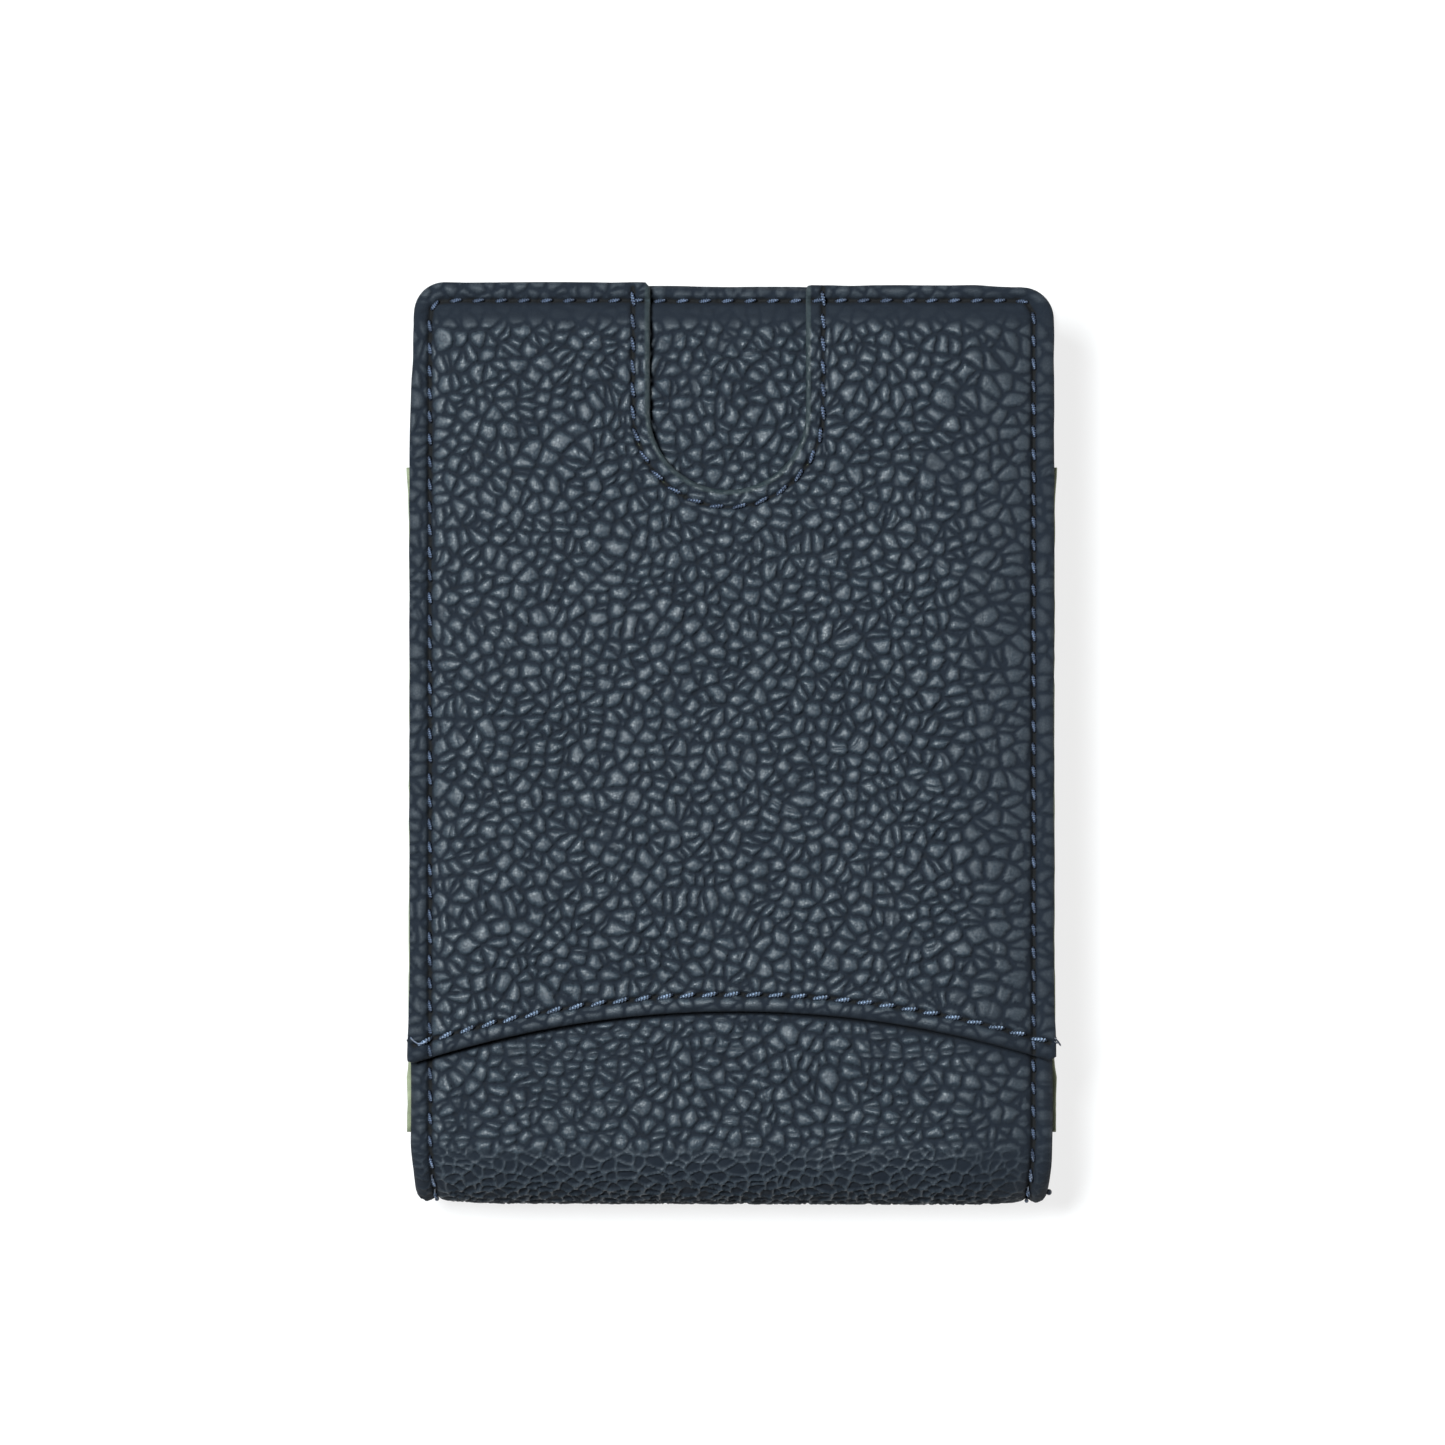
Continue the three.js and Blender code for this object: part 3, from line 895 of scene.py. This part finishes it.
# ---------------------------------------------------------------- thread
def spokes(first, second, sides):
    """Directions round the circle that each pair of vectors spans, and their angles."""
    turn = 2 * math.pi * np.arange(sides) / sides
    return first[:, None] * np.cos(turn)[:, None] + second[:, None] * np.sin(turn)[:, None], turn


def thread_piece(name, starts, ends, normals, material,
                 ply=0.15, lift=0.14, dive=0.38, slant=0.10, reach=0.0):
    """Two-ply stitches, each from a start point to an end point, diving into a hole at both ends.
    reach carries each end further along the seam, down inside its hole."""
    sides, steps, turns, marks = 6, 29, 2.5, 6
    starts, ends, normals = (np.asarray(a, float) for a in (starts, ends, normals))
    along = ends - starts
    tangent = unit(along)
    starts, along = starts - reach / 2 * tangent, along + reach * tangent
    across = unit(np.cross(normals, tangent))
    starts, along = starts - slant * across, along + 2 * slant * across
    count = len(starts)
    out, round_it = spokes(across, normals, sides)
    points, ply_light_and_shade = [], []
    for strand in range(2):
        rows, shades = [], []
        for t in np.linspace(0, 1, steps):
            arch = math.sin(math.pi * t)
            height = lift * arch**0.7 - dive * (1 - min(1.0, 2.2 * arch**0.8))
            middle = starts + along * t + normals * height
            turn = 2 * math.pi * turns * t + math.pi * strand
            thick = ply * (0.55 + 0.45 * arch)
            middle = middle + 0.8 * thick * (math.cos(turn) * across + math.sin(turn) * normals)
            rows.append(middle[:, None] + thick * out)
            # Painted highlight and shade: light slanting marks round the plies, fading dark towards each end
            # where the thread dives into its hole.
            shade = (0.5 + 0.5 * np.cos(round_it + 2 * math.pi * marks * t)) * arch**0.5
            shades.append(np.tile(shade, (count, 1)))
        points.append(np.stack(rows, axis=1).reshape(-1, 3))     # by stitch, step and side
        ply_light_and_shade.append(np.stack(shades, axis=1).reshape(-1))
    faces = ring_faces(steps, sides) + np.arange(2 * count)[:, None, None] * steps * sides
    return new_piece(name, np.concatenate(points), faces.reshape(-1, 4), material,
                     {"ply_light_and_shade": np.concatenate(ply_light_and_shade)})


def stitch_seam(name, flat_ends, place, level, material, **thread_shape):
    """Thread for stitches given by their flat ends; place maps (u, v, n) to x, y, z, and the thread
    lies at n = level."""
    u, v = flat_ends[..., 0], flat_ends[..., 1]
    ends = place(u, v, level)
    middle = u.mean(axis=1), v.mean(axis=1)
    up = place(*middle, level + 1) - place(*middle, level)
    return thread_piece(name, ends[:, 0], ends[:, 1], up, material, **thread_shape)


def on_face(u, s, n):
    """A place on the outside of the case: on the panel where there is one, and on the shell elsewhere."""
    return shell_place(u, s, puff(u, s) + PANEL * on_panel(u, s) + n)


def on_front(x, y, n):
    return xyz(x, y, panel_base(x, y) + n)


def build_outer_seams():
    seam = stitch_seam("perimeter_stitches", OUTER_STITCHES, on_face, -0.30, DARK_THREAD,
                       ply=0.125, lift=0.19, reach=0.45)
    blend_covers(seam)
    mouth = stitch_seam("mouth_stitches", MOUTH_STITCHES, on_front, -0.16, THREAD,
                        ply=0.155, lift=0.17, slant=0.18, reach=0.35)
    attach(mouth, "front_cover")
    notch = stitch_seam("notch_stitches", NOTCH_STITCHES, on_front, -0.20, DARK_THREAD,
                        ply=0.135, lift=0.16, slant=0.14, reach=0.35)
    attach(notch, "front_cover")


def tube(path, radius, sides=7):
    """Rings of points along a path, closed to a point at both ends; radius may vary along it."""
    path = np.asarray(path, float)
    tangent = unit(np.gradient(path, axis=0))
    first = unit(np.cross(tangent, (0.3, 0.2, 1.0)))
    out, _ = spokes(first, np.cross(tangent, first), sides)
    radius = np.broadcast_to(radius, len(path)).copy()
    radius[[0, -1]] = 0.01
    points = (path[:, None] + radius[:, None, None] * out).reshape(-1, 3)
    return points, ring_faces(len(path), sides)


def loose_end(name, path, radius, body, pale=0.15):
    """A short end of sewing thread left outside a seam."""
    points, faces = tube(path, radius)
    mark = pale * (0.7 + 0.3 * np.cos(np.arange(len(points)) * 0.9))
    piece = new_piece(name, points, faces, DARK_THREAD, {"ply_light_and_shade": mark})
    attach(piece, body)


def build_loose_ends():
    """A loop at the left end of the mouth's seam, two cut ends at its right, and a melted knot."""
    t = np.linspace(0, 1, 26)
    left = (-HALF_WIDTH + 2.1, -32.0)
    level = FLANGE_FRONT_Z + PANEL + 0.12
    path = np.stack([left[0] - 1.9 * t, left[1] - 0.62 * np.sin(math.pi * t) ** 0.8 + 0.25 * t,
                     level + 0.12 - 0.30 * t * t], axis=1)
    loose_end("mouth_thread_loop", path, 0.085, "front_cover", 0.7)
    right = (HALF_WIDTH - 0.1, -32.2)
    for k, (reach, rise) in enumerate(((0.55, 0.5), (0.75, -0.35))):
        s = np.linspace(0, 1, 10)
        path = np.stack([right[0] + reach * s, right[1] + 0.4 * k - 0.6 * s + rise * s * s,
                         level - 0.25 + 0.05 * s], axis=1)
        loose_end(f"mouth_thread_end_{k + 1}", path, 0.10, "front_cover")
    turn = np.linspace(0, math.pi, 11)
    path = np.stack([SHELL_HALF_WIDTH - 0.35 - 0.32 * np.cos(turn),
                     np.full(11, HINGE[1] - 6.0), np.full(11, HINGE[2] + 2.0)], axis=1)
    loose_end("foot_thread_knot", path, 0.34 * np.sin(turn) + 0.01, "back_cover")


# ---------------------------------------------------------------- linings
INNER_RADIUS = (INSIDE_HIGH - INSIDE_LOW) / 2
INNER_LENGTH = 2 * BACK_LENGTH + math.pi * INNER_RADIUS
LINING_INSET = 2.0
SPINE_DIP = 0.85                         # how far the lining dips in the bend to meet the leather
LINING_ROLL = 0.17
LINING_THICK = 0.02 + 2 * LINING_ROLL    # with the glue under it


def inner_place(u, s, n):
    """As shell_place, for the inside face of the case; n is the height above it, towards the cards."""
    turn = np.clip((s - BACK_LENGTH) / INNER_RADIUS, 0, math.pi)
    straight = np.where(s < BACK_LENGTH, BACK_LENGTH - s, np.maximum(s - INNER_LENGTH + BACK_LENGTH, 0))
    radius = INNER_RADIUS - n + SPINE_DIP * smooth(np.minimum(turn, math.pi - turn) / 0.35)
    y = HINGE[1] + straight - radius * np.sin(turn)
    z = HINGE[2] - radius * np.cos(turn)
    return xyz(-u, y, z)


def on_inside(u, s, n):
    return inner_place(u, s, LINING_THICK + n)


def rectangle(half_u, low, high, radius):
    """The distance outside an upright rectangle with round corners, as a function of (u, v)."""
    middle, half_v = (low + high) / 2, (high - low) / 2

    def distance(u, v):
        return rounded(np.abs(u) - half_u, np.abs(v - middle) - half_v, radius)
    return distance


def build_lining():
    half = HALF_WIDTH - LINING_INSET
    us = np.linspace(-half, half, 45)
    ss = unequal([(0, BACK_LENGTH - 3, 1.6), (BACK_LENGTH - 3, INNER_LENGTH - BACK_LENGTH + 3, 0.6),
                  (INNER_LENGTH - BACK_LENGTH + 3, INNER_LENGTH, 1.6)])
    outline = rectangle(half, LINING_INSET, INNER_LENGTH - LINING_INSET, 2.0)
    u, s, drop, _, faces = cut_sheet(us, ss, outline, LINING_ROLL)
    ease = 0.04 * noise(u, s, 9.0, 71)
    piece = new_piece("inner_lining", inner_place(u, s, LINING_THICK + ease - drop), faces, LINING)
    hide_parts("back_lining", "front_lining", "spine_lining")
    blend_covers(piece)
    line = perimeter(lambda s: np.full(np.shape(s), SEAM_X - 0.5), 2.9, BACK_LENGTH - 3, SEAM_CORNER)
    back, _ = spaced(line, SIDE_STITCH)
    front = back * np.array([1, -1]) + np.array([0, INNER_LENGTH])
    for side, ends in (("back", back), ("front", front)):
        seam = stitch_seam(f"{side}_inner_stitches", ends, on_inside, 0.0, DARK_THREAD,
                           ply=0.12, lift=0.05, reach=0.4)
        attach(seam, f"{side}_cover")


def build_pocket_lining():
    us = np.linspace(-HALF_WIDTH, HALF_WIDTH, 48)
    vs = np.linspace(MOUTH_END_Y, TOP_Y, 58)

    def inside_panel(x, y):
        return np.maximum(panel_distance(x, y) + 0.9, LINING_MARGIN - seam_distance(x, front_s(y)))
    x, y, drop, _, faces = cut_sheet(us, vs, inside_panel, 0.09)
    z = FLANGE_FRONT_Z + puff(x, front_s(y)) + 0.24 - drop
    piece = new_piece("pocket_lining", xyz(x, y, z), faces, LINING)
    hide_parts("pass_pocket_lining")
    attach(piece, "front_cover")


# ---------------------------------------------------------------- accordion
WALL_LOW, WALL_HIGH = box_mm("divider_1")
WALL_HALF = WALL_HIGH[0]
WALL_FOOT = WALL_LOW[1]
WALL_THICK = WALL_HIGH[2] - WALL_LOW[2]
WALL_TOP = box_mm("divider_1_binding")[1][1]
GUSSET_NOSE = HALF_WIDTH - 0.06
GUSSET_THICK = 0.22


def wall_level(k):
    """z of the middle of divider wall k; 0 and COMPARTMENTS are the faces of the covers' lining."""
    if k == 0:
        return INSIDE_LOW + LINING_THICK - WALL_THICK / 2
    if k == COMPARTMENTS:
        return INSIDE_HIGH - LINING_THICK + WALL_THICK / 2
    low, high = box_mm(f"divider_{k}")
    return (low[2] + high[2]) / 2


def leaf(k):
    return "front_cover" if k == COMPARTMENTS else f"divider_{k}_leaf"


def build_gusset_fold(hand, sign, k):
    """The V of cloth at one side of compartment k, from the wall below it out to its nose and back."""
    clear = (WALL_THICK + GUSSET_THICK) / 2 + 0.03
    low, high = wall_level(k - 1) + clear, wall_level(k) - clear
    rows, columns = 74, 25
    y = np.linspace(GUSSET_LOW[1], GUSSET_HIGH[1], rows)[:, None]
    t = np.linspace(0, 1, columns)[None, :]
    root_x = WALL_HALF - 1.2
    seed = 80 + 2 * k + (sign > 0)
    shows = 0.24 * bell((GUSSET_HIGH[1] - y) / 2.6) + 0.20 * smooth((MOUTH_END_Y - y) / 1.5)
    wander = 0.06 * noise(y, k, 7.0, seed) + 0.05 * noise(y, k, 1.5, seed + 40)
    nose = GUSSET_NOSE + shows + 0.04 * (sign > 0) + wander
    x = sign * (root_x + (nose - root_x) * np.sin(math.pi * t) ** 0.62)
    z = low + (high - low) * (t - 0.7 * np.sin(2 * math.pi * t) / (2 * math.pi))
    z = z + 0.05 * noise(y, x, 5.0, seed + 80) * np.sin(math.pi * t)
    points = xyz(x, y, z)
    faces = grid_faces(np.arange(rows * columns).reshape(rows, columns)).reshape(-1, 4)
    # Paler towards each fold's nose: partly wear, partly a painted highlight where the nose catches the
    # light.
    worn_and_lit = (np.sin(math.pi * t) ** 12 * (0.75 + 0.25 * noise(y, 0, 1.1, seed + 120))).ravel()
    fold = new_piece(f"gusset_{hand}_fold_{k}", points.reshape(-1, 3), faces, GUSSET, {"worn_and_lit": worn_and_lit})
    cloth = fold.modifiers.new("cloth", "SOLIDIFY")
    cloth.thickness = GUSSET_THICK * MM
    cloth.offset = 0
    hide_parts(f"gusset_{hand}")
    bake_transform(fold)


def build_wall(k):
    level = wall_level(k)
    name = f"divider_{k}"
    half = WALL_HALF
    outline = rectangle(half, WALL_FOOT, WALL_TOP - 0.4, 0.8)
    us, vs = np.linspace(-half, half, 36), np.linspace(WALL_FOOT, WALL_TOP, 46)
    x, y, drop, _, faces = cut_sheet(us, vs, outline, WALL_THICK / 2, roll_steps=4)
    wave = 0.10 * noise(x, y, 21.0, 90 + k) * smooth((WALL_TOP - 3 - y) / 8)
    cloth = xyz(x, y, level + WALL_THICK / 2 - drop + wave)
    wall = new_piece(f"{name}_cloth", cloth, faces, LINING)
    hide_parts(name)
    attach(wall, leaf(k))
    binding_low, binding_high = box_mm(f"{name}_binding")
    thick = binding_high[2] - binding_low[2]
    outline = rectangle(half, binding_low[1], WALL_TOP, 0.5)
    us, vs = np.linspace(-half, half, 190), np.linspace(binding_low[1], WALL_TOP, 11)
    x, y, drop, side, faces = cut_sheet(us, vs, outline, thick / 2, roll_steps=6)
    grain_and_shade = pebbles(x * 1.5, y * 1.5 + 60 * k)
    face = np.cos(side)
    groove = 0.10 * bell((y - binding_low[1] - 0.9) / 0.3)
    z = level + thick / 2 - drop + face * (0.10 * (grain_and_shade - 0.8) - groove)
    binding = new_piece(f"{name}_edge", xyz(x, y, z), faces, LEATHER, {"grain_and_shade": grain_and_shade})
    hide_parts(f"{name}_binding")
    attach(binding, leaf(k))
    line_x = np.linspace(-half + 0.8, half - 0.8, 300)
    ends, _ = spaced(np.stack([line_x, np.full(300, binding_low[1] + 0.9)], axis=1), (2.4, 1.6))

    def on_binding(x, y, n):
        return xyz(x, y, level + thick / 2 + n)
    seam = stitch_seam(f"{name}_stitches", ends, on_binding, -0.04, DARK_THREAD,
                       ply=0.08, lift=0.04, dive=0.15, slant=0.05)
    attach(seam, leaf(k))


# ---------------------------------------------------------------- inside the covers
def build_pad(side):
    """The foam under a cover's skin: flat on its board, crowned under the skin."""
    low, high = box_mm(f"{side}_padding")
    front = side == "front"
    half, skin = high[0], 0.85
    outline = rectangle(half - 1.0, low[1] + 1.0, high[1] - 1.0, 2.2)
    us, vs = np.linspace(-half, half, 50), np.linspace(low[1], high[1], 64)
    x, y, drop, _, faces = cut_sheet(us, vs, outline, 0.25, roll_steps=4)
    share = drop / drop.max()
    if front:
        crown = FLANGE_FRONT_Z + puff(x, front_s(y)) - skin
        z = crown + (low[2] + 0.05 - crown) * share
    else:
        crown = FLANGE_BACK_Z - puff(x, TOP_Y - y) + skin
        z = crown + (high[2] - 0.05 - crown) * share
        faces = faces[:, ::-1]
    pad = new_piece(f"{side}_foam_pad", xyz(x, y, z), faces, FOAM)
    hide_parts(f"{side}_padding")
    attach(pad, f"{side}_cover")


def finish_cad_nodes():
    """Boards and magnets keep their CAD shape and get their materials."""
    for side in ("back", "front"):
        for part, look in (("board", BOARD), ("magnet_left", NICKEL), ("magnet_right", NICKEL)):
            mesh = frame["nodes"][f"{side}_{part}"].data
            mesh.materials.clear()
            mesh.materials.append(look)


build_shell()
build_panel()
build_outer_seams()
build_loose_ends()
build_lining()
build_pocket_lining()
for number in range(1, COMPARTMENTS + 1):
    build_gusset_fold("left", -1, number)
    build_gusset_fold("right", 1, number)
for number in range(1, COMPARTMENTS):
    build_wall(number)
build_pad("back")
build_pad("front")
finish_cad_nodes()


# ---------------------------------------------------------------- floor, light and camera
def plain_floor():
    n = new_material("white_floor")
    material = n.finish(Base_Color=(0.22, 0.22, 0.22, 1), Roughness=0.9, Specular_IOR_Level=0.0,
                        Emission_Color=(1, 1, 1, 1), Emission_Strength=0.80)
    reach = 2500.0
    points = [(-reach, -reach, -0.02), (reach, -reach, -0.02), (reach, reach, -0.02), (-reach, reach, -0.02)]
    floor = new_piece("floor", points, [[0, 1, 2, 3]], material, smooth_shading=False)


def soft_light(name, place, aim, size, power, colour=(1, 1, 1)):
    data = bpy.data.lights.new(name, "AREA")
    data.shape = "RECTANGLE"
    data.size, data.size_y = size
    data.energy = power
    data.color = colour
    light = bpy.data.objects.new(name, data)
    light.location = place
    from_aim = np.array(place) - np.array(aim)
    turn = math.atan2(from_aim[1], from_aim[0])
    tilt = math.atan2(math.hypot(from_aim[0], from_aim[1]), from_aim[2])
    light.rotation_euler = (0, tilt, turn)
    bpy.context.scene.collection.objects.link(light)


def sky(low, high):
    """A pale studio wall round the horizon and a dim ceiling."""
    world = bpy.data.worlds.new("studio")
    n = Nodes(world)
    direction = n.node("ShaderNodeTexCoord").outputs["Generated"]
    up = n.node("ShaderNodeSeparateXYZ", {"Vector": direction}).outputs["Z"]
    n.feed(n.tree.nodes["Background"].inputs["Strength"], n.ramp(up, 0.15, 0.45, low, high))
    bpy.context.scene.world = world


def camera():
    """Straight above the front, far enough away that its perspective hardly shows."""
    data = bpy.data.cameras.new("camera")
    data.sensor_width = 36.0
    frame_width, height, front_face = 0.1564, 1.2, 0.015
    data.lens = data.sensor_width * (height - front_face) / frame_width
    made = bpy.data.objects.new("camera", data)
    made.location = (-0.0010, 0.0023, height)
    bpy.context.scene.collection.objects.link(made)
    bpy.context.scene.camera = made


plain_floor()
sky(0.80, 0.10)
soft_light("key", (-0.33, 0.20, 0.92), (0, 0, 0), (0.28, 0.40), 21.5, (0.90, 0.97, 1.0))
soft_light("low_fill", (0.90, 0.0, 0.30), (0, 0, 0), (0.30, 0.50), 2.4)
camera()
bpy.context.scene.view_settings.view_transform = "Standard"
